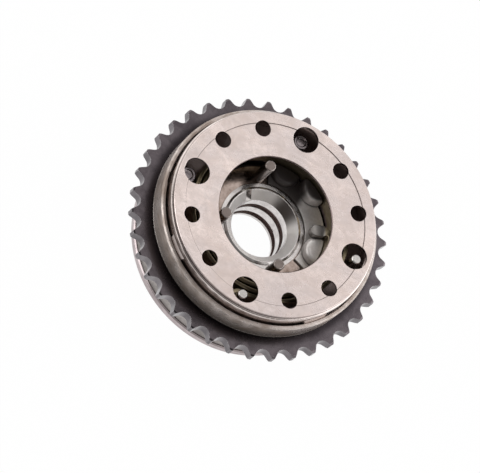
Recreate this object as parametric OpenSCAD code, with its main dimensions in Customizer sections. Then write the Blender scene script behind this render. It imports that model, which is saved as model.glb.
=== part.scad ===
// Vane-type cam phaser: chain sprocket, stator with four pressure chambers,
// vaned rotor on an oil-fed hub sleeve, spiral bias spring and lock pin.
// The part lies on its rear cover, with its axis along +Z and its front plate on top.

/* [Stack along the axis] */
// Thickness of the rear cover
rear_cover_t = 4; // [3:0.1:6]
// Height of the pressure chambers
chamber_h = 15.9; // [12:0.1:22]
// Thickness of the sprocket disc
sprocket_t = 4.7; // [3.5:0.1:7]
// Height of the drum's rim above the sprocket
drum_h = 10.6; // [8:0.1:14]
// Height of the cover shell's shoulder above the sprocket
shell_top = 15.4; // [14:0.1:20]
// Thickness of the front plate
plate_t = 1.2; // [0.8:0.1:2]

/* [Sprocket] */
// Number of teeth
teeth = 38; // [34:2:44]
// Pitch of the timing chain
chain_pitch = 9.525; // [9:0.025:10]
// Diameter of the chain's rollers
roller_d = 6.35; // [5.5:0.05:6.6]
// Height of a tooth above the gap's bottom
tooth_h = 3.8; // [3:0.1:4.4]
// Width of the flat land on a tooth's tip
tip_land = 1.3; // [0.8:0.1:2]
// Direction of the first gap between teeth, counter-clockwise from +X
tooth_turn = -1.52; // [-4.5:0.01:4.5]
// Bevel taken off each side of a tooth at its tip
tooth_bevel = 0.4; // [0.2:0.1:0.8]

/* [Stator] */
// Outer radius of the stator ring
stator_r = 48.6; // [47:0.1:50]
// Radius of the pressure chambers
chamber_r = 42; // [40:0.1:43]
// Radius of the rotor hub
hub_r = 27; // [26.5:0.1:28]
// Angle that one stator lobe covers
lobe_angle = 34; // [28:0.5:36]
// Outer radius of the rear cover
rear_cover_r = 49.5; // [49:0.1:52]

/* [Rotor] */
// Travel of the rotor between its stops
phase_travel = 30; // [20:1:34]
// Free angle left at each stop
stop_angle = 0.75; // [0.5:0.05:1.5]
// Radius of the spigot that runs in the rear cover
spigot_r = 20; // [19.8:0.1:22]
// Set-back of the rotor's rear face from the rear cover
rear_recess = 0.2; // [0.1:0.1:0.6]
// Rise of the rotor's front face above the sprocket
hub_rise = 0.6; // [0.2:0.1:1]
// Radius of the camshaft dowel's hole
dowel_r = 1.75; // [1.5:0.05:1.8]
// Radius of the circle that the dowel's hole lies on
dowel_circle_r = 17.5; // [17.4:0.1:17.6]
// Depth of the dowel's hole
dowel_depth = 6; // [4:0.5:8]

/* [Hub sleeve] */
// Radius of the bore for the oil valve
bore_r = 12.8; // [12:0.1:13]
// Outer radius of the sleeve
sleeve_r = 15; // [14.6:0.1:15.1]
// Radius of the sleeve's flange
flange_r = 17.5; // [16.5:0.1:18.5]
// Height of the flange's front face above the sprocket
flange_rise = 1.9; // [1.5:0.1:2.4]
// Radius of the low step round the flange
flange_step_r = 19.2; // [18.8:0.1:19.4]
// Height of that step above the rotor's face
flange_step_h = 0.5; // [0.3:0.1:0.8]
// Width of the bevel round the flange's front face
flange_bevel = 1; // [0.4:0.1:1.6]
// Drop of that bevel
flange_drop = 0.4; // [0.2:0.1:0.6]
// Width of the flat between that bevel and the bore's mouth
flange_land = 0.3; // [0.2:0.1:1]
// Depth of the bore's tapered mouth
bore_mouth_depth = 4; // [3:0.1:4.6]
// Depth of the two oil grooves
groove_depth = 1; // [0.6:0.1:1.2]
// Width of the land in front of the front oil groove
front_land = 4.5; // [3.5:0.1:5]
// Width of the front oil groove
front_groove_w = 3.8; // [3:0.1:4.4]
// Width of the rear oil groove
rear_groove_w = 3.6; // [3:0.1:4]
// Width of the land behind the rear oil groove
rear_land = 1.6; // [1.2:0.1:2]
// Depth of the recess behind the sleeve for the camshaft's nose
nose_depth = 4.1; // [3:0.1:4.6]
// Radius of that recess
nose_r = 15.3; // [15.2:0.1:15.5]
// Radius of the radial oil ports
port_r = 1.3; // [1:0.1:1.6]
// Width of the key notch in the flange
notch_w = 2.6; // [1.5:0.1:4]
// Direction of the key notch, counter-clockwise from +X
notch_angle = 134; // [0:1:359]

/* [Seals] */
// Width of a seal bar
seal_w = 2.4; // [1.8:0.1:3]
// Depth of a seal bar
seal_d = 2.7; // [2:0.1:3.2]
// Depth of the room behind a seal bar for its leaf spring
seal_spring_room = 0.9; // [0.7:0.05:1.2]
// Thickness of a leaf spring
leaf_t = 0.2; // [0.15:0.05:0.3]

/* [Lock pin] */
// Radius of the lock pin's body
lock_r = 4; // [3.5:0.1:4.5]
// Radius of the lock pin's nose
lock_nose_r = 3.6; // [3:0.1:3.7]
// Web between the lock pin's bore and the seal slot outside it
lock_web = 0.7; // [0.4:0.1:1.5]
// Travel of the lock pin
lock_travel = 3; // [2:0.1:3.4]
// Length of the lock pin's nose
lock_nose_h = 5; // [4.4:0.1:5.4]
// Wall of the lock pin round its spring pocket
lock_wall = 1.2; // [0.8:0.1:1.4]
// Thickness of the cap that closes the lock pin's bore
lock_cap_t = 2; // [1.5:0.1:2.4]
// Wall of the lock bush
lock_bush_wall = 1.6; // [1.2:0.1:2]
// Depth of the lock bush in the rear cover
lock_bush_h = 2.6; // [1.6:0.1:2.6]
// Wire radius of the lock spring
lock_wire_r = 0.4; // [0.3:0.05:0.5]

/* [Drum and cover] */
// Room between the screws' collars and the cover shell
screw_room = 1.7; // [1:0.1:3]
// Wall of the drum
drum_wall = 1.8; // [1.2:0.1:2.4]
// Thickness of the drum's floor
drum_floor_t = 2.3; // [1.8:0.1:3]
// Inner radius of the drum's floor
drum_floor_r = 30; // [29:0.1:33]
// Chamfer of the drum's rim
rim_chamfer = 0.6; // [0.3:0.1:0.9]
// Gap between the drum and the cover shell
shell_gap = 0.6; // [0.4:0.1:1]
// Sheet thickness of the cover shell
shell_t = 1.2; // [0.8:0.1:1.6]
// Radius of the shell's rounded shoulder
shoulder_r = 0.8; // [0.4:0.1:1]
// Width of the shell's flat lip under the front plate
shell_lip = 2.3; // [1.9:0.1:2.4]
// Angle that one centring lug covers
lug_angle = 12; // [6:0.5:16]
// Angle over which a lug's ends rise
lug_ramp = 2; // [1:0.5:4]
// Direction of the first lug, counter-clockwise from +X
lug_turn = 46; // [20:0.5:70]

/* [Front plate] */
// Radius of the central opening
opening_r = 25.7; // [24:0.1:27]
// Distance of the holes' circle inside the screws' circle
hole_inset = 1.7; // [0.9:0.1:2.9]
// Radius of the four large holes
large_hole_r = 5.8; // [5:0.1:5.8]
// Radius of the eight small holes
small_hole_r = 3.6; // [2.5:0.1:4]
// Radius of the turned step
step_r = 40.8; // [40:0.1:43]
// Depth of the turned step
step_depth = 0.3; // [0.1:0.05:0.4]

/* [Screws, posts and pins] */
// Radius of the circle that the screws and posts lie on
screw_circle_r = 39.9; // [39:0.1:40.4]
// Radius of a screw's shank
screw_r = 2.5; // [2:0.1:3]
// Radius of a screw's collar
collar_r = 3.8; // [3.5:0.1:4.2]
// Thickness of a screw's collar
collar_t = 1.2; // [0.8:0.1:1.5]
// Radius of the two long spring posts
post_r = 2.12; // [1.8:0.02:2.4]
// Radius of the two short screw heads
head_r = 3.45; // [2.6:0.05:3.5]
// Height of the short screw heads above the sprocket
head_top = 10.2; // [8:0.1:12]
// Radius of a spring pin
pin_r = 2.45; // [1.8:0.05:2.6]
// Gap between the flange's step and a spring pin
pin_gap = 0.25; // [0.1:0.05:0.6]
// Depth of a spring pin in the rotor
pin_seat = 8; // [5:0.5:12]

/* [Bias spring] */
// Thickness of the spring strip
strip_t = 1.8; // [1.4:0.1:2.2]
// Width of the spring strip
strip_w = 7.6; // [5:0.1:9]
// Full turns between the tang and the hook
coil_turns = 3; // [2:1:3]
// Gap between the strip and the pieces it hooks on
hook_gap = 0.3; // [0.2:0.05:0.5]
// Width of the folded tang
tang_w = 5.2; // [3.6:0.1:5.4]
// Height of the folded tang
tang_h = 4.2; // [3:0.1:4.6]
// Radius that the tang's nose reaches in to
tang_nose_r = 19.6; // [19.4:0.1:21]
// Direction of the tang, counter-clockwise from +X
tang_angle = 18; // [14:1:22]

/* [Spring anchor] */
// Height of the anchor's tall lobe above the rotor's face
tall_lobe_h = 7; // [4:0.1:8]
// Height of the low lobe beside it
side_lobe_h = 3.6; // [2.5:0.1:5]
// Height of the lobe that the tang bears on
foot_lobe_h = 5.6; // [4.5:0.1:7]
// Thickness of the anchor's base
anchor_t = 1.1; // [0.8:0.1:1.3]
// Gap between the flange's step and the anchor's base
anchor_gap = 0.4; // [0.2:0.1:1.5]
// Radial width of the anchor inside the spring's first coil
anchor_w = 7; // [5:0.1:7.5]
// Boss radius of the tall lobe
tall_boss_r = 6.8; // [6:0.1:9]
// Boss radius of the two other lobes
low_boss_r = 6.5; // [5:0.1:8]
// Round of the lobes' top edges
lobe_round = 2; // [0.5:0.1:2.4]
// Set-back of the tall lobe's nose from the anchor's inner edge
tall_lobe_back = 3.9; // [0.5:0.1:5]
// Set-back of the nose of the low lobe beside it
side_lobe_back = 1.2; // [0:0.1:3]

/* [Fits] */
// Running clearance of the hub and the spigot in their bores
run_gap = 0.05; // [0.03:0.01:0.1]
// Clearance of pieces that are pressed or set in place
set_gap = 0.02; // [0.01:0.01:0.04]
// Clearance of screws in their through holes
screw_gap = 0.2; // [0.1:0.05:0.3]
// Clearance of the vane and lobe tips behind their seals
tip_gap = 0.15; // [0.1:0.05:0.3]
// Clearance between the drum's floor and the spring
spring_gap = 0.3; // [0.2:0.05:0.6]

/* [Hidden] */
$fn = 96;
eps = 0.5;
CHAMBERS = 4;
CHAMBER_PITCH = 360 / CHAMBERS;

// Levels of the stack, from the rear face up
z_stator = rear_cover_t;
z_sprocket = z_stator + chamber_h;
z_face = z_sprocket + sprocket_t;
z_floor = z_face + drum_floor_t;
z_rim = z_face + drum_h;
z_plate = z_face + shell_top;
z_front = z_plate + plate_t;
z_hub = z_face + hub_rise;
z_flange = z_face + flange_rise;
z_collar = z_floor - collar_t;
z_strip = z_floor + spring_gap;
z_tang = z_strip + (strip_w - tang_h) / 2;

// Sprocket circles
pitch_r = chain_pitch / (2 * sin(180 / teeth));
root_r = pitch_r - roller_d / 2;
tip_r = root_r + tooth_h;
seat_r = roller_d / 2;

// Rotor: the vanes rest near one side of their chambers and turn to the other
vane_angle = CHAMBER_PITCH - lobe_angle - phase_travel - 2 * stop_angle;
vane_turn = (lobe_angle + vane_angle) / 2 + stop_angle;
vane_tip_r = chamber_r - tip_gap;
lobe_tip_r = hub_r + tip_gap;
z_vane = z_stator + run_gap;
vane_h = chamber_h - 2 * run_gap;
slot_d = seal_d + seal_spring_room;
slot_w = seal_w + 2 * set_gap;
seal_h = vane_h - 2 * set_gap;

// Lock pin: flush with the vane at rest, with room above it for its travel
lock_circle_r = vane_tip_r - slot_d - lock_web - run_gap - lock_r;
LOCK_LIFT = 0.1;
LOCK_HEADROOM = 0.8;
LOCK_FLOOR = 1;
NOSE_GAP = 0.3;
lock_angle = vane_turn + CHAMBER_PITCH;
z_lock = z_stator + LOCK_LIFT;
z_cap = z_vane + vane_h - lock_cap_t;
lock_len = z_cap - z_lock - lock_travel - LOCK_HEADROOM;
z_pocket = z_lock + lock_nose_h - LOCK_FLOOR;
pocket_r = lock_r - lock_wall;
lock_bush_in_r = lock_nose_r + NOSE_GAP;
lock_bush_r = lock_bush_in_r + lock_bush_wall;

// Hub sleeve: the mouth's taper, then land, groove, land, groove and land
groove_r = bore_r + groove_depth;
bore_mouth_r = flange_r - flange_bevel - flange_land;
z_mouth = z_flange - bore_mouth_depth;
z_front_groove = z_mouth - front_land - front_groove_w;
z_nose = rear_recess + nose_depth;
z_rear_groove = z_nose + rear_land;
port_side = 3.6;
z_front_port = z_front_groove + front_groove_w / 2;
z_rear_port = max(z_rear_groove + rear_groove_w - port_r / 2, z_vane + 1.5 * port_r);

// Spring anchor and pins stand outside the flange's low step
anchor_r = flange_step_r + anchor_gap;
pin_circle_r = flange_step_r + pin_gap + pin_r;

// Cover shell and drum walls stand outside the screws, the plate's holes over them
shell_r = screw_circle_r + collar_r + screw_room + shell_t;
drum_in_r = shell_r + shell_gap;
drum_r = drum_in_r + drum_wall;
plate_r = shell_r - shoulder_r;
hole_circle_r = screw_circle_r - hole_inset;

// Bias spring: inward tang at one end, hook round the post on -Y at the other
strip_clear = strip_t / 2 + hook_gap;
hook_mid_r = post_r + strip_clear;
coil_in_r = anchor_r + anchor_w + strip_clear;
coil_out_r = screw_circle_r - hook_mid_r;
coil_sweep = 360 * coil_turns + tang_angle + 90;
COIL_STEP = 6;
coil_steps = ceil(coil_sweep / COIL_STEP);
function coil_mid_r(turned) = coil_in_r + (coil_out_r - coil_in_r) * turned / coil_sweep;

// Spring anchor: stays inside the second coil over the whole travel
ANCHOR_FROM = -20;
ANCHOR_TO = 104;
TALL_LOBE = 60;
SIDE_LOBE = 89;
FOOT_LOBE = 1;
anchor_far_turn = 360 + tang_angle - ANCHOR_TO - phase_travel;
anchor_out_r = coil_mid_r(anchor_far_turn) - strip_clear;

// Directions of the screws, posts and pins
POST_ANGLES = [0, -90];
HEAD_ANGLES = [90, 180];
SCREW_ANGLES = concat(POST_ANGLES, HEAD_ANGLES);
PIN_ANGLES = [116, 207, 296];

function numbered(name, count) = [for (i = [1 : count]) str(name, "_", i)];

function polar(r, a) = [r * cos(a), r * sin(a)];

// Places children on a circle of radius r at each of the given directions
module around(angles, r = 0) {
    for (a = angles) rotate(a) translate([r, 0, 0]) children();
}

// Flat wedge of the given angle, centred on +X, out to radius r
module wedge(r, angle) {
    reach = r / cos(angle / 2);
    polygon([[0, 0], polar(reach, -angle / 2), [reach, 0], polar(reach, angle / 2)]);
}

// Flat ring
module ring(r_out, r_in) {
    difference() {
        circle(r_out);
        circle(r_in);
    }
}

// Solid cylinder that starts at height z
module rod(r, z, h) {
    translate([0, 0, z]) cylinder(r = r, h = h);
}

// Rear cover: closes the chambers, carries the rotor's spigot, the screws' threads and the lock bush
module rear_cover() {
    chamfer = 0.6;
    color("#9a948e") difference() {
        rotate_extrude() polygon([
            [spigot_r + run_gap, 0],
            [rear_cover_r - chamfer, 0],
            [rear_cover_r, chamfer],
            [rear_cover_r, rear_cover_t - chamfer],
            [rear_cover_r - chamfer, rear_cover_t],
            [spigot_r + run_gap, rear_cover_t]
        ]);
        around(SCREW_ANGLES, screw_circle_r) rod(screw_r + set_gap, -eps, rear_cover_t + 2 * eps);
        around([lock_angle], lock_circle_r)
            rod(lock_bush_r + set_gap, rear_cover_t - lock_bush_h, lock_bush_h + eps);
    }
}

// Stator ring: outer wall with four inward lobes, a seal slot in each lobe and the screws' holes
module stator_ring() {
    color("#8f8a85") translate([0, 0, z_stator]) difference() {
        linear_extrude(chamber_h) difference() {
            circle(stator_r);
            circle(lobe_tip_r);
            around([for (i = [0 : CHAMBERS - 1]) (i + 0.5) * CHAMBER_PITCH])
                intersection() {
                    circle(chamber_r);
                    wedge(chamber_r, CHAMBER_PITCH - lobe_angle);
                }
            around([for (i = [0 : CHAMBERS - 1]) i * CHAMBER_PITCH])
                translate([0, -slot_w / 2]) square([lobe_tip_r + slot_d, slot_w]);
        }
        around(SCREW_ANGLES, screw_circle_r) rod(screw_r + screw_gap, -eps, chamber_h + 2 * eps);
    }
}

// Gap between two teeth: round seat for a roller, with flanks that open tangent to it
module tooth_gap() {
    half_gap = tip_r * sin(180 / teeth) - tip_land / 2;
    corner = [sqrt(tip_r * tip_r - half_gap * half_gap), half_gap];
    to_corner = corner - [pitch_r, 0];
    span = norm(to_corner);
    contact = atan2(to_corner.y, to_corner.x) + acos(seat_r / span);
    touch = [pitch_r, 0] + polar(seat_r, contact);
    beyond = corner + (corner - touch);
    translate([pitch_r, 0]) circle(seat_r);
    polygon([
        [touch.x, -touch.y], [beyond.x, -beyond.y], beyond, touch
    ]);
}

// Sprocket: toothed disc that also closes the chambers in front
module sprocket() {
    bevel_start = tip_r - 2 * tooth_bevel;
    color("#3b3a3c") difference() {
        translate([0, 0, z_sprocket]) rotate_extrude() polygon([
            [hub_r + run_gap, 0],
            [bevel_start, 0],
            [tip_r, tooth_bevel],
            [tip_r, sprocket_t - tooth_bevel],
            [bevel_start, sprocket_t],
            [hub_r + run_gap, sprocket_t]
        ]);
        translate([0, 0, z_sprocket - eps]) linear_extrude(sprocket_t + 2 * eps)
            around([for (i = [0 : teeth - 1]) tooth_turn + i * 360 / teeth]) tooth_gap();
        around(SCREW_ANGLES, screw_circle_r)
            rod(screw_r + screw_gap, z_sprocket - eps, sprocket_t + 2 * eps);
    }
}

// Spring drum: turned cup in front of the sprocket, clamped by the screws' collars
module spring_drum() {
    inner_chamfer = 0.3;
    foot_h = 0.5;
    line_w = 0.8;
    line_depth = 0.2;
    rim_notch_angle = 6;
    rim_notch_turn = 184;
    rim_notch_depth = 1.2;
    color("#a39a92") difference() {
        rotate_extrude() difference() {
            polygon([
                [drum_floor_r, z_face],
                [drum_r, z_face],
                [drum_r, z_rim - rim_chamfer],
                [drum_r - rim_chamfer, z_rim],
                [drum_in_r + inner_chamfer, z_rim],
                [drum_in_r, z_rim - inner_chamfer],
                [drum_in_r, z_floor],
                [drum_floor_r, z_floor]
            ]);
            translate([drum_r - line_depth, z_face + foot_h]) square([line_depth + eps, line_w]);
        }
        around(SCREW_ANGLES, screw_circle_r) {
            rod(screw_r + screw_gap, z_face - eps, drum_floor_t + 2 * eps);
            rod(collar_r + screw_gap, z_collar, collar_t + eps);
        }
        rotate(rim_notch_turn) translate([0, 0, z_rim - rim_notch_depth])
            rotate_extrude(angle = rim_notch_angle)
                translate([drum_in_r - eps, 0]) square([eps + drum_wall / 3, rim_notch_depth + eps]);
    }
}

// Cover shell: pressed ring that stands on the drum's floor, with four sloped centring lugs
module cover_shell() {
    lug_foot = 1.2;
    lug_r = drum_in_r - set_gap;
    lug_in_r = shell_r - shell_t / 2;
    color("#c9c2bc") union() {
        rotate_extrude() difference() {
            union() {
                translate([shell_r - shell_t, z_floor]) square([shell_t, z_plate - shoulder_r - z_floor]);
                translate([plate_r - shell_lip, z_plate - shell_t]) square([shell_lip, shell_t]);
                translate([plate_r - eps, z_plate - shell_t - eps])
                    square([shoulder_r + eps, shell_t + eps]);
            }
            translate([plate_r, z_plate - shoulder_r]) difference() {
                square(shoulder_r + eps);
                circle(shoulder_r);
            }
        }
        intersection() {
            rotate_extrude() polygon([
                [lug_in_r, z_rim - lug_foot],
                [lug_r, z_rim - lug_foot],
                [lug_r, z_rim],
                [lug_in_r, z_plate - shoulder_r]
            ]);
            translate([0, 0, z_rim - lug_foot]) linear_extrude(z_plate - z_rim + lug_foot)
                around([for (i = [0 : CHAMBERS - 1]) lug_turn + i * CHAMBER_PITCH]) polygon([
                    [0, 0],
                    polar(lug_in_r, -lug_angle / 2 - lug_ramp),
                    polar(lug_r, -lug_angle / 2),
                    [2 * lug_r, 0],
                    polar(lug_r, lug_angle / 2),
                    polar(lug_in_r, lug_angle / 2 + lug_ramp)
                ]);
        }
    }
}

// Front plate: flat disc with the central opening, a turned step and the ring of twelve holes
module front_plate() {
    edge = 0.3;
    hole_pitch = 30;
    small_angles = [for (i = [0 : CHAMBERS - 1]) for (k = [1, 2]) i * CHAMBER_PITCH + k * hole_pitch];
    color("#d8d0ca") translate([0, 0, z_plate]) difference() {
        rotate_extrude() polygon([
            [opening_r, 0],
            [plate_r, 0],
            [plate_r, plate_t - edge],
            [plate_r - edge, plate_t],
            [step_r, plate_t],
            [step_r, plate_t - step_depth],
            [opening_r + edge, plate_t - step_depth],
            [opening_r, plate_t - step_depth - edge]
        ]);
        around([for (i = [0 : CHAMBERS - 1]) i * CHAMBER_PITCH], hole_circle_r)
            rod(large_hole_r, -eps, plate_t + 2 * eps);
        around(small_angles, hole_circle_r) rod(small_hole_r, -eps, plate_t + 2 * eps);
    }
}

// Shank and collar that every clamping screw has, driven by a hexagon socket in its rear end
module screw_shank() {
    rear_end = 0.4;
    socket_r = 1.4;
    socket_depth = 2.5;
    difference() {
        union() {
            rod(screw_r, rear_end, z_collar - rear_end + eps);
            rod(collar_r, z_collar, collar_t);
        }
        translate([0, 0, rear_end - eps]) cylinder(r = socket_r, h = socket_depth + eps, $fn = 6);
    }
}

// Two screws whose heads are drawn out as posts; the spring hooks on one of them
module post_screws() {
    chamfer = 0.4;
    color("#c4bfba") around(POST_ANGLES, screw_circle_r) union() {
        screw_shank();
        rod(post_r, z_floor - eps, z_plate - chamfer - z_floor + eps);
        translate([0, 0, z_plate - chamfer]) cylinder(r1 = post_r, r2 = post_r - chamfer, h = chamfer);
    }
}

// Two screws with short stout heads, each dished on top
module clamp_screws() {
    chamfer = 0.35;
    dish_r = 0.7 * head_r;
    dish_depth = 0.5;
    z_top = z_face + head_top;
    color("#77726e") around(HEAD_ANGLES, screw_circle_r) difference() {
        union() {
            screw_shank();
            rod(head_r, z_floor - eps, z_top - chamfer - z_floor + eps);
            translate([0, 0, z_top - chamfer]) cylinder(r1 = head_r, r2 = head_r - chamfer, h = chamfer);
        }
        translate([0, 0, z_top - dish_depth])
            cylinder(r1 = dish_r - dish_depth, r2 = dish_r + eps, h = dish_depth + eps);
    }
}

// Points along one side of the spiral, from the tang outwards and clockwise
function coil_side(offset) = [
    for (i = [0 : coil_steps])
        let (turned = coil_sweep * i / coil_steps)
        polar(coil_mid_r(turned) + offset, tang_angle - turned)
];
function reversed(list) = [for (i = [len(list) - 1 : -1 : 0]) list[i]];

// Bias spring: flat spiral strip with a folded inward tang and an outer hook
module bias_spring() {
    tang_out_r = coil_in_r + strip_t / 2;
    color("#6b6350") union() {
        translate([0, 0, z_strip]) linear_extrude(strip_w) {
            polygon(concat(coil_side(-strip_t / 2), reversed(coil_side(strip_t / 2))));
            translate([0, -screw_circle_r]) intersection() {
                ring(hook_mid_r + strip_t / 2, hook_mid_r - strip_t / 2);
                translate([-2 * hook_mid_r, -2 * hook_mid_r]) square([2 * hook_mid_r, 4 * hook_mid_r]);
            }
        }
        translate([0, 0, z_tang]) linear_extrude(tang_h) rotate(tang_angle) {
            translate([tang_nose_r + tang_w / 2, 0]) circle(tang_w / 2);
            translate([tang_nose_r + tang_w / 2, -tang_w / 2])
                square([tang_out_r - tang_nose_r - tang_w / 2, tang_w]);
        }
    }
}

// Lock bush: hardened ring in the rear cover that the lock pin drops into
module lock_bush() {
    color("#b5b0aa") translate([0, 0, rear_cover_t - lock_bush_h]) linear_extrude(lock_bush_h)
        around([lock_angle], lock_circle_r) ring(lock_bush_r, lock_bush_in_r);
}

// Radial oil ports on both sides of every vane, from the sleeve's grooves to the chambers
module oil_ports(r_in, r_out) {
    side = vane_angle / 2 + port_side;
    for (i = [0 : CHAMBERS - 1]) {
        rotate(vane_turn + i * CHAMBER_PITCH - side) translate([r_in, 0, z_front_port])
            rotate([0, 90, 0]) cylinder(r = port_r, h = r_out - r_in);
        rotate(vane_turn + i * CHAMBER_PITCH + side) translate([r_in, 0, z_rear_port])
            rotate([0, 90, 0]) cylinder(r = port_r, h = r_out - r_in);
    }
}

// Vaned rotor: hub with four vanes, seal slots, the lock pin's bore and the pins' seats
module vane_rotor() {
    vane_angles = [for (i = [0 : CHAMBERS - 1]) vane_turn + i * CHAMBER_PITCH];
    lock_step_z = z_lock + lock_nose_h - lock_travel;
    color("#a89c92") difference() {
        union() {
            rod(spigot_r, rear_recess, z_vane - rear_recess + eps);
            rod(hub_r, z_vane, z_hub - z_vane);
            translate([0, 0, z_vane]) linear_extrude(vane_h) around(vane_angles) intersection() {
                circle(vane_tip_r);
                wedge(vane_tip_r, vane_angle);
            }
        }
        rod(sleeve_r + set_gap, -eps, z_hub + 2 * eps);
        rod(nose_r, rear_recess - eps, nose_depth + eps);
        rod(flange_r + set_gap, z_mouth - set_gap, z_hub - z_mouth + set_gap + eps);
        translate([0, 0, z_vane - eps]) linear_extrude(vane_h + eps) around(vane_angles)
            translate([vane_tip_r - slot_d, -slot_w / 2]) square([slot_d + eps, slot_w]);
        around([lock_angle], lock_circle_r) {
            rod(lock_nose_r + run_gap, z_vane - eps, vane_h);
            rod(lock_r + run_gap, lock_step_z, z_sprocket - lock_step_z);
        }
        oil_ports(bore_r, hub_r + eps);
        around(PIN_ANGLES, pin_circle_r) rod(pin_r + set_gap, z_hub - pin_seat, pin_seat + eps);
        around([lock_angle], dowel_circle_r) rod(dowel_r, rear_recess - eps, dowel_depth + eps);
    }
}

// Hub sleeve: pressed liner with the valve bore, two oil grooves and a stepped front flange
module hub_sleeve() {
    notch_lip = 0.3;
    color("#cfcac6") difference() {
        rotate_extrude() polygon([
            [bore_r, z_nose],
            [sleeve_r, z_nose],
            [sleeve_r, z_mouth],
            [flange_r, z_mouth],
            [flange_r, z_hub],
            [flange_step_r, z_hub],
            [flange_step_r, z_hub + flange_step_h],
            [flange_r, z_hub + flange_step_h],
            [flange_r, z_flange - flange_drop],
            [flange_r - flange_bevel, z_flange],
            [bore_mouth_r, z_flange],
            [bore_r, z_mouth],
            [bore_r, z_front_groove + front_groove_w],
            [groove_r, z_front_groove + front_groove_w],
            [groove_r, z_front_groove],
            [bore_r, z_front_groove],
            [bore_r, z_rear_groove + rear_groove_w],
            [groove_r, z_rear_groove + rear_groove_w],
            [groove_r, z_rear_groove],
            [bore_r, z_rear_groove]
        ]);
        oil_ports(bore_r, sleeve_r + eps);
        rotate(notch_angle) translate([0, -notch_w / 2, z_mouth + notch_lip])
            cube([bore_mouth_r + flange_land / 2, notch_w, bore_mouth_depth]);
    }
}

// One anchor lobe: part of a round boss with a rounded top edge, trimmed to the anchor's ring
module lobe(angle, boss_r, nose_r, out_r, h) {
    intersection() {
        rotate(angle) translate([nose_r + boss_r, 0, 0]) rotate_extrude() union() {
            square([boss_r - lobe_round, h]);
            square([boss_r, h - lobe_round]);
            translate([boss_r - lobe_round, h - lobe_round]) circle(lobe_round);
        }
        cylinder(r = out_r, h = h);
    }
}

// Spring anchor: sintered block on the rotor's face with three rounded lobes; the tang bears on one
module spring_anchor() {
    mid = (ANCHOR_FROM + ANCHOR_TO) / 2;
    span = ANCHOR_TO - ANCHOR_FROM;
    color("#8d8780") translate([0, 0, z_hub]) union() {
        linear_extrude(anchor_t) intersection() {
            ring(anchor_out_r, anchor_r);
            rotate(mid) wedge(anchor_out_r, span);
        }
        lobe(TALL_LOBE, tall_boss_r, anchor_r + tall_lobe_back, anchor_out_r, tall_lobe_h);
        lobe(SIDE_LOBE, low_boss_r, anchor_r + side_lobe_back, anchor_out_r, side_lobe_h);
        difference() {
            lobe(FOOT_LOBE, low_boss_r, anchor_r, coil_in_r - strip_clear, foot_lobe_h);
            rotate(tang_angle) translate([0, -tang_w / 2 - hook_gap, -eps])
                cube([anchor_out_r, anchor_out_r, foot_lobe_h + 2 * eps]);
        }
    }
}

// Lock pin: stepped plunger with a pocket for its spring, drawn at its flush position
module lock_pin() {
    color("#b9b4ae") around([lock_angle], lock_circle_r) difference() {
        union() {
            rod(lock_nose_r, z_lock, lock_nose_h + eps);
            rod(lock_r, z_lock + lock_nose_h, lock_len - lock_nose_h);
        }
        rod(pocket_r, z_pocket, lock_len + eps);
    }
}

// Lock cap: vented disc that closes the lock pin's bore and backs its spring
module lock_cap() {
    vent_r = 1;
    color("#9b958f") translate([0, 0, z_cap]) linear_extrude(lock_cap_t)
        around([lock_angle], lock_circle_r) ring(lock_r + run_gap - set_gap, vent_r);
}

// Lock spring: round-wire coil between the lock pin's pocket and the lock cap
module lock_spring() {
    turns = 6;
    steps = 16;
    sides = 6;
    side_gap = 0.2;
    mean_r = pocket_r - lock_wire_r - side_gap;
    z_low = z_pocket + lock_wire_r + set_gap;
    z_high = z_cap - lock_wire_r - set_gap;
    rings = turns * steps;
    points = [for (i = [0 : rings]) for (k = [0 : sides - 1])
        let (a = 360 * i / steps)
        let (b = 360 * k / sides)
        let (r = mean_r + lock_wire_r * cos(b))
        [r * cos(a), r * sin(a), z_low + (z_high - z_low) * i / rings + lock_wire_r * sin(b)]];
    walls = [for (i = [0 : rings - 1]) for (k = [0 : sides - 1])
        let (n = (k + 1) % sides)
        [i * sides + k, (i + 1) * sides + k, (i + 1) * sides + n, i * sides + n]];
    first = [for (k = [0 : sides - 1]) k];
    last = [for (k = [sides - 1 : -1 : 0]) rings * sides + k];
    color("#8a857f") around([lock_angle], lock_circle_r)
        polyhedron(points, concat([first], walls, [last]));
}

// Spring pin i: plain pin pressed into the rotor's face
module spring_pin(i) {
    chamfer = 0.3;
    z_end = z_plate - chamfer;
    color("#bdb8b3") around([PIN_ANGLES[i - 1]], pin_circle_r) union() {
        rod(pin_r, z_hub - pin_seat, z_end - z_hub + pin_seat);
        translate([0, 0, z_end]) cylinder(r1 = pin_r, r2 = pin_r - chamfer, h = chamfer);
    }
}

// Seal bar i in a vane's tip, curved to the chamber's wall
module vane_seal(i) {
    color("#4a443e") translate([0, 0, z_vane + set_gap]) linear_extrude(seal_h)
        rotate(vane_turn + (i - 1) * CHAMBER_PITCH) intersection() {
            circle(chamber_r - run_gap);
            translate([vane_tip_r - seal_d, -seal_w / 2]) square([seal_d + eps, seal_w]);
        }
}

// Seal bar i in a lobe's tip, curved to the rotor's hub
module lobe_seal(i) {
    color("#4a443e") translate([0, 0, z_vane + set_gap]) linear_extrude(seal_h)
        rotate((i - 1) * CHAMBER_PITCH) difference() {
            translate([lobe_tip_r - seal_d, -seal_w / 2]) square([2 * seal_d, seal_w]);
            circle(hub_r + run_gap);
        }
}

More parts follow.
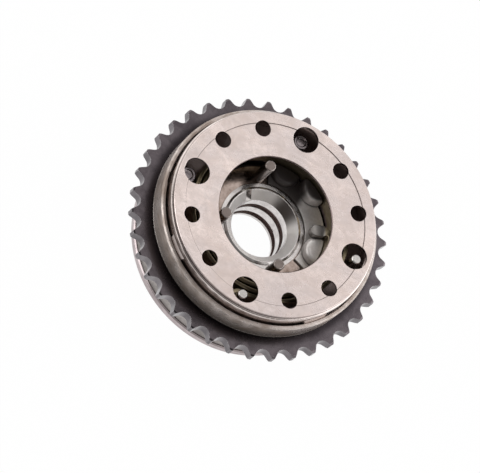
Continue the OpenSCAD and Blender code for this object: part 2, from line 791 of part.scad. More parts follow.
// Bowed leaf spring that fills the room behind a seal, with its bow along +X
module leaf(r) {
    steps = 12;
    half = seal_h / 2 - 1;
    bow = seal_spring_room - leaf_t - 4 * set_gap;
    width = seal_w - 0.6;
    arch = [for (k = [0 : steps])
        let (s = 2 * k / steps - 1)
        [bow * (1 - s * s), half * s]];
    translate([r, width / 2, z_vane + vane_h / 2]) rotate([90, 0, 0]) linear_extrude(width)
        polygon(concat(arch, [for (p = reversed(arch)) p + [leaf_t, 0]]));
}

// Leaf spring i behind a vane's seal
module vane_seal_spring(i) {
    color("#a7a29d") rotate(vane_turn + (i - 1) * CHAMBER_PITCH)
        leaf(vane_tip_r - slot_d + 2 * set_gap);
}

// Leaf spring i behind a lobe's seal
module lobe_seal_spring(i) {
    color("#a7a29d") rotate((i - 1) * CHAMBER_PITCH) leaf(lobe_tip_r + seal_d + 2 * set_gap);
}

rear_cover();
stator_ring();
sprocket();
spring_drum();
cover_shell();
front_plate();
post_screws();
clamp_screws();
bias_spring();
lock_bush();
vane_rotor();
hub_sleeve();
spring_anchor();
lock_cap();
lock_spring();
lock_pin();
for (i = [1 : len(PIN_ANGLES)])
    spring_pin(i);
for (i = [1 : CHAMBERS]) {
    vane_seal(i);
    vane_seal_spring(i);
    lobe_seal(i);
    lobe_seal_spring(i);
}
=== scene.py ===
import math

import bpy
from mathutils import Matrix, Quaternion, Vector


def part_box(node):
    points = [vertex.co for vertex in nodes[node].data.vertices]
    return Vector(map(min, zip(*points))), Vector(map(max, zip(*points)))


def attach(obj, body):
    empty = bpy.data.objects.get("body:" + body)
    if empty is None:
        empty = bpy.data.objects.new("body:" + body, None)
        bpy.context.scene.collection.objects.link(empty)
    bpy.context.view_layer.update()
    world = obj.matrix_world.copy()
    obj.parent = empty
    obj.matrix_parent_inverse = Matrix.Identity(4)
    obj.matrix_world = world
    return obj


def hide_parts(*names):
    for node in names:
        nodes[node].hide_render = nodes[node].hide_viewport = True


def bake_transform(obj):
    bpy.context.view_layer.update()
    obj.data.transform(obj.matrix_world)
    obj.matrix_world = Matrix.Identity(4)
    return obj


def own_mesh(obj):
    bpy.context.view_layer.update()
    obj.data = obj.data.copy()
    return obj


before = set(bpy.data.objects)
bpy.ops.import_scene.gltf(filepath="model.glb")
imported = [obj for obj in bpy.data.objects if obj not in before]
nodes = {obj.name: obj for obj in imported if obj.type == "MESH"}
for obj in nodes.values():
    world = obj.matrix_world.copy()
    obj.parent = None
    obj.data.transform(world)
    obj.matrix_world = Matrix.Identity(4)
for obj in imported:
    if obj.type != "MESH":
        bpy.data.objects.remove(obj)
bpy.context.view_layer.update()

# Rear cover
# Ground steel disc that closes the oil chambers at the back and carries the threads of the
# four clamping screws. Its bright rim shows behind the teeth.
MM = 0.001
EDGE_BREAK = 0.2 * MM
EDGE_SEEN, EDGE_FULL = 0.985, 0.88
RUBBED_BRIGHT = (0.82, 0.78, 0.76)
COVER_DARK, COVER_LIGHT = (0.36, 0.305, 0.31), (0.50, 0.435, 0.44)


def shader(finish, kind, settings=None, **sockets):
    """Adds one shader node. A socket is given by its label, or by i and its number, and takes a
    number, a colour or another node's output."""
    made = finish.node_tree.nodes.new(kind)
    for name, value in (settings or {}).items():
        setattr(made, name, value)
    for name, value in sockets.items():
        key = int(name[1:]) if name[0] == "i" and name[1:].isdigit() else name.replace("_", " ")
        if isinstance(value, bpy.types.NodeSocket):
            finish.node_tree.links.new(value, made.inputs[key])
        else:
            made.inputs[key].default_value = value
    return made


def blank_finish(name):
    """A new finish with only its output and its Principled shader."""
    finish = bpy.data.materials.new(name)
    finish.use_nodes = True
    return finish


def surface_of(finish, label):
    """One socket of a finish's Principled shader."""
    return finish.node_tree.nodes["Principled BSDF"].inputs[label]


def feed(finish, label, value):
    """Leads a node's output into one socket of a finish's Principled shader."""
    finish.node_tree.links.new(value, surface_of(finish, label))


def maths(finish, operation, first, second):
    """One calculation with two values, of which at least one is another node's output."""
    return shader(finish, "ShaderNodeMath", {"operation": operation}, i0=first, i1=second).outputs[0]


def share(finish, first, second):
    """Two tones multiplied, so that the result is full only where both are."""
    return maths(finish, "MULTIPLY", first, second)


def vector_maths(finish, operation, result, *terms):
    """One calculation with vectors, with its result read as a Vector or as a Value."""
    sockets = {f"i{k}": term for k, term in enumerate(terms)}
    return shader(finish, "ShaderNodeVectorMath", {"operation": operation}, **sockets).outputs[result]


def ramp(finish, value, start, end, low=0.0, high=1.0):
    """Eases from low to high as a value goes from start to end."""
    return shader(finish, "ShaderNodeMapRange", {"interpolation_type": "SMOOTHSTEP"}, Value=value,
                  From_Min=start, From_Max=end, To_Min=low, To_Max=high).outputs["Result"]


def tinted(finish, tone, dark, light):
    """A colour between two, by a tone from 0 to 1. Either may be another node's output."""
    dark, light = [c if isinstance(c, bpy.types.NodeSocket) else (*c, 1) for c in (dark, light)]
    return shader(finish, "ShaderNodeMix", {"data_type": "RGBA"}, i0=tone, i6=dark, i7=light).outputs[2]


def place_on(finish):
    """The point on the surface, in the part's own frame."""
    return shader(finish, "ShaderNodeTexCoord").outputs["Object"]


def height_on(finish):
    """The point's height above the rear face."""
    return shader(finish, "ShaderNodeSeparateXYZ", Vector=place_on(finish)).outputs["Z"]


def flat_on(finish):
    """The point as seen along the part's axis, with its height left out."""
    return vector_maths(finish, "MULTIPLY", "Vector", place_on(finish), (1, 1, 0))


def radius_on(finish):
    """The point's distance from the part's axis."""
    return vector_maths(finish, "LENGTH", "Value", flat_on(finish))


def clouds(finish, size, stretch=(1, 1, 1), swirl=0.7):
    """Smoky tone from 0 to 1: broad drifting clouds with smears over them, five times as fine."""
    drawn = shader(finish, "ShaderNodeMapping", Vector=place_on(finish), Scale=stretch).outputs[0]
    broad = shader(finish, "ShaderNodeTexNoise", Vector=drawn, Scale=1 / size, Detail=4.0,
                   Roughness=0.55, Distortion=swirl).outputs["Fac"]
    fine = shader(finish, "ShaderNodeTexNoise", Vector=drawn, Scale=5 / size, Detail=5.0,
                  Roughness=0.6, Distortion=swirl / 2).outputs["Fac"]
    smoke = shader(finish, "ShaderNodeMath", {"operation": "MULTIPLY_ADD"}, i0=fine, i1=0.5, i2=broad)
    return ramp(finish, smoke.outputs[0], 0.5, 1.0)


def edge_round(finish, radius):
    """The normal with every sharp edge broken by a small round, and where those edges are."""
    soft = shader(finish, "ShaderNodeBevel", {"samples": 4}, Radius=radius).outputs[0]
    hard = shader(finish, "ShaderNodeNewGeometry").outputs["Normal"]
    agree = vector_maths(finish, "DOT_PRODUCT", "Value", soft, hard)
    return soft, ramp(finish, agree, EDGE_SEEN, EDGE_FULL)


def steel(name, dark, light, cloud, rough, turned=0.0, grain=0.0, edge=EDGE_BREAK, worn=0.0,
          stretch=(1, 1, 1)):
    """A steel whose tone and gloss drift in clouds, with turned rings or a fine grain, and edges
    that are rounded and rubbed bright."""
    finish = blank_finish(name)
    tone = clouds(finish, cloud, stretch)
    soft, edges = edge_round(finish, edge)
    colour = tinted(finish, tone, dark, light)
    if worn:
        colour = tinted(finish, share(finish, edges, worn), colour, RUBBED_BRIGHT)
    surface_of(finish, "Metallic").default_value = 1.0
    feed(finish, "Base Color", colour)
    feed(finish, "Roughness", ramp(finish, tone, 0, 1, rough[1], rough[0]))
    if turned:
        along_cut = maths(finish, "ADD", radius_on(finish), height_on(finish))
        relief = shader(finish, "ShaderNodeTexNoise", {"noise_dimensions": "1D"}, W=along_cut,
                        Scale=1 / turned, Detail=3.0, Roughness=0.7)
    else:
        relief = shader(finish, "ShaderNodeTexNoise", Vector=place_on(finish), Scale=1 / grain,
                        Detail=4.0, Roughness=0.7)
    bump = shader(finish, "ShaderNodeBump", Strength=0.3, Distance=0.02 * MM,
                  Height=relief.outputs["Fac"], Normal=soft)
    feed(finish, "Normal", bump.outputs["Normal"])
    return finish


def dress(names, finish):
    """Gives CAD nodes their finish."""
    for name in names:
        nodes[name].data.materials.clear()
        nodes[name].data.materials.append(finish)


cover_steel = steel("cover_steel", COVER_DARK, COVER_LIGHT, cloud=14 * MM, rough=(0.24, 0.4),
                    turned=0.4 * MM)
dress(["rear_cover"], cover_steel)

# Stator ring and lock bush
# The stator is a sintered ring with four inward lobes, clamped between rear cover and
# sprocket. The lock bush is a hardened ring pressed into the rear cover.
SINTER_DARK, SINTER_LIGHT = (0.27, 0.25, 0.24), (0.42, 0.39, 0.375)
GROUND_DARK, GROUND_LIGHT = (0.42, 0.395, 0.385), (0.62, 0.60, 0.585)
sintered_steel = steel("sintered_steel", SINTER_DARK, SINTER_LIGHT, cloud=9 * MM, rough=(0.42, 0.6),
                       grain=0.25 * MM)
bright_steel = steel("bright_steel", GROUND_DARK, GROUND_LIGHT, cloud=8 * MM, rough=(0.1, 0.22),
                     turned=0.2 * MM, worn=0.5)
dress(["stator_ring"], sintered_steel)
dress(["lock_bush"], bright_steel)

# Vaned rotor
# Steel hub with four vanes, machined all over and turned by the oil in the chambers. Its face
# shows inside the front opening, stained brown by that oil.
ROTOR_BROWN, ROTOR_CLEAN = (0.22, 0.16, 0.13), (0.48, 0.39, 0.35)
rotor_steel = steel("rotor_steel", ROTOR_BROWN, ROTOR_CLEAN, cloud=7 * MM, rough=(0.12, 0.28),
                    turned=0.25 * MM)
dress(["vane_rotor"], rotor_steel)

# Hub sleeve
# Ground steel liner pressed into the rotor, with the valve bore, two oil grooves and a flange.
# Old oil has left the grooves dark; the bore's sloped mouth has a painted reflection with a dark streak.
SLEEVE_DARK, SLEEVE_LIGHT = (0.52, 0.485, 0.475), (0.74, 0.71, 0.695)
GROOVE_FLOOR = 13.8 * MM
GROOVE_TOP = 20.0 * MM
GROOVE_OIL = (0.36, 0.27, 0.25)
MOUTH_REFLECTION_LIGHT, MOUTH_REFLECTION_DARK = (0.95, 0.92, 0.905), (0.10, 0.085, 0.08)
REFLECTION_STREAK_TOWARDS = (0.515, 0.857, 0)
REFLECTION_STREAK_SPREAD = 0.84
MOUTH_DULL, MOUTH_ROUGH = 0.72, 0.14
FILM_METAL = 0.2


def either(finish, first, second):
    """The stronger of two tones."""
    return maths(finish, "MAXIMUM", first, second)


def tint_towards(finish, where, colour):
    """Tints a finish towards a colour, by where from 0 to 1."""
    base = surface_of(finish, "Base Color").links[0].from_socket
    feed(finish, "Base Color", tinted(finish, where, base, colour))


def dulled(finish, where, clean=1.0):
    """Makes a finish less metallic, from the share clean down to a dull film, by where."""
    feed(finish, "Metallic", ramp(finish, where, 0, 1, clean, FILM_METAL))


def facing_on(finish):
    """The way the surface faces, in the part's own frame."""
    return shader(finish, "ShaderNodeTexCoord").outputs["Normal"]


def looking_up(finish):
    """How far the surface faces the front plate's side, from -1 to 1."""
    return shader(finish, "ShaderNodeSeparateXYZ", Vector=facing_on(finish)).outputs["Z"]


def leaning_out(finish):
    """How far the surface faces away from the part's axis, from -1 to 1."""
    outward = vector_maths(finish, "NORMALIZE", "Vector", flat_on(finish))
    return vector_maths(finish, "DOT_PRODUCT", "Value", outward, facing_on(finish))


def reach_towards(finish, towards):
    """The point's distance from the part's axis, measured along one direction."""
    return vector_maths(finish, "DOT_PRODUCT", "Value", place_on(finish), towards)


sleeve_steel = steel("sleeve_steel", SLEEVE_DARK, SLEEVE_LIGHT, cloud=6 * MM, rough=(0.14, 0.26),
                     turned=0.2 * MM, worn=0.5)
sleeve_radius = radius_on(sleeve_steel)
groove_depth = ramp(sleeve_steel, sleeve_radius, GROOVE_FLOOR - 0.7 * MM, GROOVE_FLOOR - 0.4 * MM)
below_mouth = ramp(sleeve_steel, height_on(sleeve_steel), GROOVE_TOP, GROOVE_TOP - 0.5 * MM)
in_groove = share(sleeve_steel, groove_depth, below_mouth)
tint_towards(sleeve_steel, in_groove, GROOVE_OIL)
in_mouth = share(sleeve_steel, ramp(sleeve_steel, leaning_out(sleeve_steel), -0.4, -0.6),
                 ramp(sleeve_steel, looking_up(sleeve_steel), 0.4, 0.6))
# Painted reflection in the bore's sloped mouth: pale, with a dark streak towards +Y.
reflection_turn = maths(sleeve_steel, "DIVIDE", reach_towards(sleeve_steel, REFLECTION_STREAK_TOWARDS), sleeve_radius)
reflection_streak = ramp(sleeve_steel, reflection_turn, REFLECTION_STREAK_SPREAD, 1.0)
tint_towards(sleeve_steel, in_mouth, tinted(sleeve_steel, reflection_streak, MOUTH_REFLECTION_LIGHT, MOUTH_REFLECTION_DARK))
sleeve_gloss = surface_of(sleeve_steel, "Roughness").links[0].from_socket
feed(sleeve_steel, "Roughness", maths(sleeve_steel, "ADD", sleeve_gloss,
                                      share(sleeve_steel, in_mouth, MOUTH_ROUGH)))
dulled(sleeve_steel, either(sleeve_steel, in_groove, share(sleeve_steel, in_mouth, MOUTH_DULL)))
dress(["hub_sleeve"], sleeve_steel)

# Lock pin, its cap and its spring
# Hardened steel plunger in one vane, with a round-wire spring behind it and a pressed cap. The
# spring shortens as the pin slides back.
DULL_DARK, DULL_LIGHT = (0.135, 0.115, 0.124), (0.30, 0.265, 0.27)
WIRE_DARK, WIRE_LIGHT = (0.16, 0.15, 0.13), (0.30, 0.28, 0.25)
LOCK_WIRE = 0.4 * MM
LOCK_TURNS = 6
TURN_STEPS, WIRE_SIDES = 24, 10
UP = Vector((0, 0, 1))


def spoke(turn):
    """The flat direction at an angle round an upright axis."""
    return Vector((math.cos(turn), math.sin(turn), 0))


def loft(name, rings, finish):
    """A closed tube through rings of points, capped at both ends."""
    around = len(rings[0])
    corners = [point for ring in rings for point in ring]
    faces = [tuple(range(around - 1, -1, -1)), tuple(range(len(corners) - around, len(corners)))]
    for i in range(len(rings) - 1):
        for k in range(around):
            near, far = i * around + k, i * around + (k + 1) % around
            faces.append((near, far, far + around, near + around))
    mesh = bpy.data.meshes.new(name)
    mesh.from_pydata(corners, [], faces)
    mesh.polygons.foreach_set("use_smooth", [True] * len(faces))
    mesh.materials.append(finish)
    piece = bpy.data.objects.new(name, mesh)
    bpy.context.scene.collection.objects.link(piece)
    piece.modifiers.new("even_faces", "WEIGHTED_NORMAL")
    return piece


screw_steel = steel("screw_steel", DULL_DARK, DULL_LIGHT, cloud=4 * MM, rough=(0.16, 0.3),
                    turned=0.2 * MM, worn=0.5)
wire_steel = steel("wire_steel", WIRE_DARK, WIRE_LIGHT, cloud=3 * MM, rough=(0.2, 0.34),
                   grain=0.3 * MM)
dress(["lock_pin"], bright_steel)
dress(["lock_cap"], screw_steel)
dress(["lock_spring"], wire_steel)
lock_low, lock_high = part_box("lock_spring")
lock_mid = (lock_low + lock_high) / 2
lock_coil = (lock_high.x - lock_low.x) / 2 - LOCK_WIRE
lock_climb = lock_high.z - lock_low.z - 2 * LOCK_WIRE
lock_rings = []
for step in range(LOCK_TURNS * TURN_STEPS + 1):
    outward = spoke(step / TURN_STEPS * 2 * math.pi)
    rise = lock_low.z + LOCK_WIRE + lock_climb * step / (LOCK_TURNS * TURN_STEPS)
    middle = Vector((lock_mid.x, lock_mid.y, rise)) + outward * lock_coil
    lock_rings.append([middle + (outward * math.cos(a) + UP * math.sin(a)) * LOCK_WIRE
                       for a in [k * 2 * math.pi / WIRE_SIDES for k in range(WIRE_SIDES)]])
lock_wire = loft("lock_spring_wire", lock_rings, wire_steel)
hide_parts("lock_spring")
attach(lock_wire, "rotor")
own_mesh(lock_wire)

# Seals and their leaf springs
# Bars moulded in plastic, laid in slots in the tips of the vanes and lobes. A bowed leaf of
# spring steel under each one presses it against the wall that slides past.
SEAL_DARK, SEAL_LIGHT = (0.035, 0.028, 0.022), (0.07, 0.058, 0.048)
SEAL_PIT = 0.2 * MM
SEALS_EACH = 4
seal_plastic = blank_finish("seal_plastic")
seal_tone = clouds(seal_plastic, 3 * MM)
seal_pits = shader(seal_plastic, "ShaderNodeTexNoise", Vector=place_on(seal_plastic), Scale=1 / SEAL_PIT,
                   Detail=4.0)
seal_bump = shader(seal_plastic, "ShaderNodeBump", Strength=0.4, Distance=0.03 * MM,
                   Height=seal_pits.outputs["Fac"])
feed(seal_plastic, "Base Color", tinted(seal_plastic, seal_tone, SEAL_DARK, SEAL_LIGHT))
feed(seal_plastic, "Roughness", ramp(seal_plastic, seal_tone, 0, 1, 0.62, 0.45))
feed(seal_plastic, "Normal", seal_bump.outputs["Normal"])
for i in range(1, SEALS_EACH + 1):
    dress([f"vane_seal_{i}", f"lobe_seal_{i}"], seal_plastic)
    dress([f"vane_seal_spring_{i}", f"lobe_seal_spring_{i}"], wire_steel)

# Sprocket
# Hardened toothed disc with a dark oxide skin, clamped between stator and drum. The chain has
# worn the flanks and seats smooth. Painted highlight lines the tooth edges, painted shade the drum's
# foot.
OXIDE_DARK, OXIDE_LIGHT = (0.078, 0.067, 0.074), (0.135, 0.117, 0.127)
FLANK_DARK, FLANK_LIGHT = (0.11, 0.10, 0.107), (0.19, 0.173, 0.183)
SPROCKET_SHADE, SPROCKET_SHADE_START, SPROCKET_SHADE_FULL = (0.016, 0.013, 0.015), 53.8 * MM, 49.8 * MM
TOOTH_WEAR_AND_HIGHLIGHT = (0.66, 0.63, 0.645)
TOOTH_PIT = MM / 3
FLANK_POLISH = 0.08
sprocket_steel = blank_finish("sprocket_steel")
tooth_tone = clouds(sprocket_steel, 9 * MM)
tooth_soft, tooth_edges = edge_round(sprocket_steel, 0.3 * MM)
tooth_level = shader(sprocket_steel, "ShaderNodeMath", {"operation": "ABSOLUTE"},
                     i0=looking_up(sprocket_steel)).outputs[0]
on_flank = ramp(sprocket_steel, tooth_level, 0.75, 0.25)
oxide = tinted(sprocket_steel, tooth_tone, OXIDE_DARK, OXIDE_LIGHT)
flank = tinted(sprocket_steel, tooth_tone, FLANK_DARK, FLANK_LIGHT)
feed(sprocket_steel, "Base Color", tinted(sprocket_steel, on_flank, oxide, flank))
# Painted shade: the face darkens towards the drum's foot.
shade_by_drum = ramp(sprocket_steel, radius_on(sprocket_steel), SPROCKET_SHADE_START, SPROCKET_SHADE_FULL, 0.0, 0.82)
tint_towards(sprocket_steel, shade_by_drum, SPROCKET_SHADE)
# Tooth edges rubbed bright by the chain, with a painted highlight over them.
tint_towards(sprocket_steel, share(sprocket_steel, tooth_edges, 0.5), TOOTH_WEAR_AND_HIGHLIGHT)
tooth_pits = shader(sprocket_steel, "ShaderNodeTexNoise", Vector=place_on(sprocket_steel),
                    Scale=1 / TOOTH_PIT, Detail=4.0, Roughness=0.7)
tooth_bump = shader(sprocket_steel, "ShaderNodeBump", Strength=0.25, Distance=0.02 * MM,
                    Height=tooth_pits.outputs["Fac"], Normal=tooth_soft)
tooth_gloss = ramp(sprocket_steel, tooth_tone, 0, 1, 0.3, 0.2)
surface_of(sprocket_steel, "Metallic").default_value = 1.0
feed(sprocket_steel, "Roughness", maths(sprocket_steel, "SUBTRACT", tooth_gloss,
                                        share(sprocket_steel, on_flank, FLANK_POLISH)))
feed(sprocket_steel, "Normal", tooth_bump.outputs["Normal"])
dress(["sprocket"], sprocket_steel)

# Spring drum
# Turned steel cup clamped on the sprocket, warm grey clouded with brown, painted shade low on its -Y
# side and dirt at its foot. The turning scatters light up and down. Inside, dull and painted dark as
# shade.
DRUM_BROWN, DRUM_CLEAN = (0.29, 0.228, 0.19), (0.64, 0.575, 0.545)
DRUM_INSIDE = 47.0 * MM
DRUM_INSIDE_SHADE = (0.32, 0.24, 0.225)
WALL_SHADE, WALL_SHADE_TOP, WALL_SHADE_FULL = (0.085, 0.068, 0.056), 34 * MM, 26 * MM
WALL_SHADE_TOWARDS = (0.1, -0.99, 0)
FOOT_DIRT, DIRT_TOP, DIRT_FULL = (0.05, 0.042, 0.038), 0.7 * MM, 0.2 * MM


def lathe_sheen(finish, amount):
    """Draws highlights out across the turned rings."""
    surface_of(finish, "Anisotropic").default_value = amount
    surface_of(finish, "Anisotropic Rotation").default_value = 0.25
    around = shader(finish, "ShaderNodeTangent", {"direction_type": "RADIAL", "axis": "Z"})
    feed(finish, "Tangent", around.outputs[0])


def across(finish, towards, start, end, low=0.0, high=1.0):
    """Eases from low to high along one direction, between two distances from the part's axis."""
    return ramp(finish, reach_towards(finish, towards), start, end, low, high)


def shaded_film(finish, where, shade_colour, clean=1.0):
    """Paints shade on a finish and dulls it to a film, by where. The rest is metal to the share clean.
    """
    tint_towards(finish, where, shade_colour)
    dulled(finish, where, clean)


drum_steel = steel("drum_steel", DRUM_BROWN, DRUM_CLEAN, cloud=15 * MM, rough=(0.24, 0.38),
                   turned=0.35 * MM, edge=0.25 * MM, worn=0.6, stretch=(1, 1, 2.2))
lathe_sheen(drum_steel, 0.6)
drum_height = height_on(drum_steel)
drum_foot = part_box("spring_drum")[0].z
# Painted shade: the wall darkens low down on its -Y side.
shaded_low = share(drum_steel, across(drum_steel, WALL_SHADE_TOWARDS, 15 * MM, 45 * MM),
                ramp(drum_steel, drum_height, WALL_SHADE_TOP, WALL_SHADE_FULL, 0.0, 0.62))
at_foot = ramp(drum_steel, drum_height, drum_foot + DIRT_TOP, drum_foot + DIRT_FULL, 0.0, 0.92)
in_drum = ramp(drum_steel, radius_on(drum_steel), DRUM_INSIDE, DRUM_INSIDE - 0.3 * MM)
tint_towards(drum_steel, shaded_low, WALL_SHADE)
tint_towards(drum_steel, at_foot, FOOT_DIRT)
# Painted shade inside the drum, under a dull film.
shaded_film(drum_steel, in_drum, DRUM_INSIDE_SHADE, clean=0.62)
dress(["spring_drum"], drum_steel)

# Spring anchor and spring pins
# Sintered steel block with three rounded lobes, and three ground pins, fixed to the rotor's face.
# Painted shade darkens one end of the block, the lobe tops towards +Y and its corners.
ANCHOR_BASE = 27.0 * MM
ANCHOR_DARK, ANCHOR_LIGHT = (0.70, 0.655, 0.635), (0.90, 0.865, 0.845)
ANCHOR_SHADE = (0.06, 0.05, 0.048)
CORNER_REACH = 1.7 * MM
PIN_DARK, PIN_LIGHT = (0.165, 0.138, 0.128), (0.22, 0.186, 0.172)
anchor_steel = steel("anchor_steel", ANCHOR_DARK, ANCHOR_LIGHT, cloud=6 * MM, rough=(0.28, 0.42),
                     grain=0.5 * MM, edge=0.4 * MM)
pin_steel = steel("pin_steel", PIN_DARK, PIN_LIGHT, cloud=5 * MM, rough=(0.16, 0.26),
                  grain=0.3 * MM, edge=0.35 * MM, worn=0.7)
# Painted shade, under a dull film: the lobe tops towards +Y, one end of the block and its corners.
lobe_top = share(anchor_steel, ramp(anchor_steel, looking_up(anchor_steel), 0.4, 0.97),
                 ramp(anchor_steel, height_on(anchor_steel), ANCHOR_BASE, ANCHOR_BASE + 0.5 * MM))
far_top = share(anchor_steel, lobe_top, across(anchor_steel, (0, 1, 0), 10 * MM, 16 * MM))
shaded_end = across(anchor_steel, (-1, 0.15, 0), -11 * MM, -7 * MM)
open_sky = shader(anchor_steel, "ShaderNodeAmbientOcclusion", {"samples": 8}, Distance=CORNER_REACH)
in_corner = share(anchor_steel, ramp(anchor_steel, open_sky.outputs["AO"], 0.82, 0.45), 0.95)
anchor_shade = either(anchor_steel, either(anchor_steel, far_top, shaded_end), in_corner)
shaded_film(anchor_steel, anchor_shade, ANCHOR_SHADE, clean=0.5)
dress(["spring_anchor"], anchor_steel)
dress(["spring_pin_1", "spring_pin_2", "spring_pin_3"], pin_steel)

# Bias spring
# Blued strip of spring steel with rolled edges, wound clockwise from its folded inward tang to the
# hook round the post on -Y. It winds up as the rotor turns.
BLUED_DARK, BLUED_LIGHT = (0.28, 0.23, 0.15), (0.44, 0.37, 0.265)
STRIP_SHADE, TANG_GREY = (0.12, 0.098, 0.06), (0.34, 0.32, 0.305)
POST_Y = -39.9 * MM
TANG_TURN = math.radians(18)
TANG_NOSE, TANG_FOOT = 19.6 * MM, 25.0 * MM
TANG_HALF, TANG_RISE = 2.6 * MM, 2.1 * MM
NOSE_FLATTEN = 0.3
STRIP_HALF, STRIP_EDGE, EDGE_LIMIT = 0.9 * MM, 0.4 * MM, 0.8
COIL_IN, COIL_OUT = 27.8 * MM, 36.58 * MM
COIL_SWEEP = math.radians(1188)
HOOK_R = 3.32 * MM
NOSE_STEPS, TANG_STEPS, BEND_STEPS, COIL_STEPS, HOOK_STEPS, EDGE_STEPS = 8, 4, 12, 297, 24, 3
COIL_FIRST = 3
spring_steel = steel("spring_steel", BLUED_DARK, BLUED_LIGHT, cloud=9 * MM, rough=(0.34, 0.48),
                     grain=0.3 * MM)
strip_low, strip_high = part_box("bias_spring")
strip_mid = (strip_low.z + strip_high.z) / 2
strip_rise = (strip_high.z - strip_low.z) / 2
radial = spoke(TANG_TURN)
clockwise = spoke(TANG_TURN - math.pi / 2)
bend = COIL_IN - TANG_FOOT
nose_end = TANG_NOSE + TANG_HALF
strip_path = []
for k in range(1, NOSE_STEPS + 1):
    reach = 1 - math.cos(k / NOSE_STEPS * math.pi / 2)
    thick = math.sqrt(1 - (1 - reach) ** 2)
    strip_path.append((radial * (TANG_NOSE + TANG_HALF * reach), TANG_HALF * thick,
                       TANG_RISE * (1 - NOSE_FLATTEN + NOSE_FLATTEN * thick)))
for k in range(1, TANG_STEPS):
    reach = nose_end + (TANG_FOOT - nose_end) * k / TANG_STEPS
    strip_path.append((radial * reach, TANG_HALF, TANG_RISE))
for t in [k / BEND_STEPS for k in range(BEND_STEPS + 1)]:
    outward, sideways = bend * math.sin(t * math.pi / 2), bend * (1 - math.cos(t * math.pi / 2))
    ease = t ** 2 * (3 - 2 * t)
    strip_path.append((radial * (TANG_FOOT + outward) + clockwise * sideways,
                       TANG_HALF + (STRIP_HALF - TANG_HALF) * ease,
                       TANG_RISE + (strip_rise - TANG_RISE) * ease))
for t in [k / COIL_STEPS for k in range(COIL_FIRST, COIL_STEPS + 1)]:
    reach = COIL_IN + (COIL_OUT - COIL_IN) * t
    strip_path.append((spoke(TANG_TURN - COIL_SWEEP * t) * reach, STRIP_HALF, strip_rise))
for k in range(1, HOOK_STEPS + 1):
    on_hook = spoke((0.5 + k / HOOK_STEPS) * math.pi) * HOOK_R
    strip_path.append((Vector((0, POST_Y, 0)) + on_hook, STRIP_HALF, strip_rise))
strip_rings = []
for k, (middle, half, rise) in enumerate(strip_path):
    along = (strip_path[min(k + 1, len(strip_path) - 1)][0] - strip_path[max(k - 1, 0)][0]).normalized()
    side = Vector((-along.y, along.x, 0))
    edge = min(STRIP_EDGE, EDGE_LIMIT * half)
    strip_rings.append([
        middle + side * (sx * (half - edge) + edge * math.cos(a))
        + UP * (strip_mid + sz * (rise - edge) + edge * math.sin(a))
        for sx, sz, start in ((1, 1, 0), (-1, 1, 0.5), (-1, -1, 1), (1, -1, 1.5))
        for a in [(start + q / EDGE_STEPS / 2) * math.pi for q in range(EDGE_STEPS + 1)]])
strip_top = ramp(spring_steel, looking_up(spring_steel), 0.2, 0.8, 0.0, 0.5)
on_tang = ramp(spring_steel, radius_on(spring_steel), TANG_FOOT + 1.5 * MM, TANG_FOOT)
tint_towards(spring_steel, strip_top, STRIP_SHADE)
tint_towards(spring_steel, on_tang, TANG_GREY)
bias_strip = loft("bias_spring_strip", strip_rings, spring_steel)
dress(["bias_spring"], spring_steel)
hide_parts("bias_spring")
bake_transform(bias_strip)

# Screws
# Two screws are drawn out as bright posts that reach the front plate, and the spring hooks
# on one of them. The other two have short stout heads of dull steel, dished on top.
dress(["post_screws"], bright_steel)
dress(["clamp_screws"], screw_steel)

# Cover shell
# Pressed steel ring inside the drum's rim that carries the front plate. Its shoulder is smooth and
# bright, with painted shade on one side, and inside it is dull and painted dark as shade.
SHELL_DARK, SHELL_LIGHT = (0.52, 0.455, 0.43), (0.68, 0.61, 0.585)
SHELL_SIDE_SHADE, SHELL_INSIDE_SHADE = (0.2, 0.165, 0.155), (0.33, 0.245, 0.225)
SIDE_SHADE_TOWARDS, SIDE_SHADE_START, SIDE_SHADE_FULL = (-0.75, -0.66, 0), 40 * MM, 45.5 * MM
shell_steel = steel("shell_steel", SHELL_DARK, SHELL_LIGHT, cloud=12 * MM, rough=(0.14, 0.24),
                    turned=0.3 * MM)
shell_inside = either(shell_steel, ramp(shell_steel, leaning_out(shell_steel), -0.15, -0.4),
                      ramp(shell_steel, looking_up(shell_steel), -0.4, -0.7))
# Painted shade on the shell's -X -Y side, and inside it.
side_shade = across(shell_steel, SIDE_SHADE_TOWARDS, SIDE_SHADE_START, SIDE_SHADE_FULL, 0.0, 0.6)
tint_towards(shell_steel, side_shade, SHELL_SIDE_SHADE)
shaded_film(shell_steel, shell_inside, SHELL_INSIDE_SHADE)
dress(["cover_shell"], shell_steel)

# Front plate
# Flat steel disc that holds the spring in, light and cloudy from handling, with painted shade towards
# +X.
# Its cut edges, its underside and the corner of its turned step are painted dark as shade.
PLATE_DARK, PLATE_LIGHT = (0.66, 0.555, 0.515), (0.92, 0.80, 0.765)
SMOKE_GREY, SMEAR_BROWN = (0.60, 0.555, 0.565), (0.46, 0.385, 0.355)
PLATE_SHADE, PLATE_UNDER_SHADE = (0.30, 0.25, 0.235), (0.20, 0.155, 0.148)
STEP_SHADE = (0.10, 0.07, 0.06)
PLATE_SHADE_TOWARDS = (0.98, -0.2, 0)
STEP_R = 40.8 * MM
plate_steel = steel("plate_steel", PLATE_DARK, PLATE_LIGHT, cloud=20 * MM, rough=(0.2, 0.32),
                    turned=0.3 * MM)
smoke = share(plate_steel, clouds(plate_steel, 34 * MM, (1, 1.4, 1), swirl=1.4), 0.55)
smear = share(plate_steel, clouds(plate_steel, 9 * MM, (1, 1.6, 1), swirl=2.0), 0.34)
# Painted shade: the plate darkens towards +X.
shade_across = across(plate_steel, PLATE_SHADE_TOWARDS, -40 * MM, 40 * MM, 0.0, 0.24)
plate_lean, plate_up = leaning_out(plate_steel), looking_up(plate_steel)
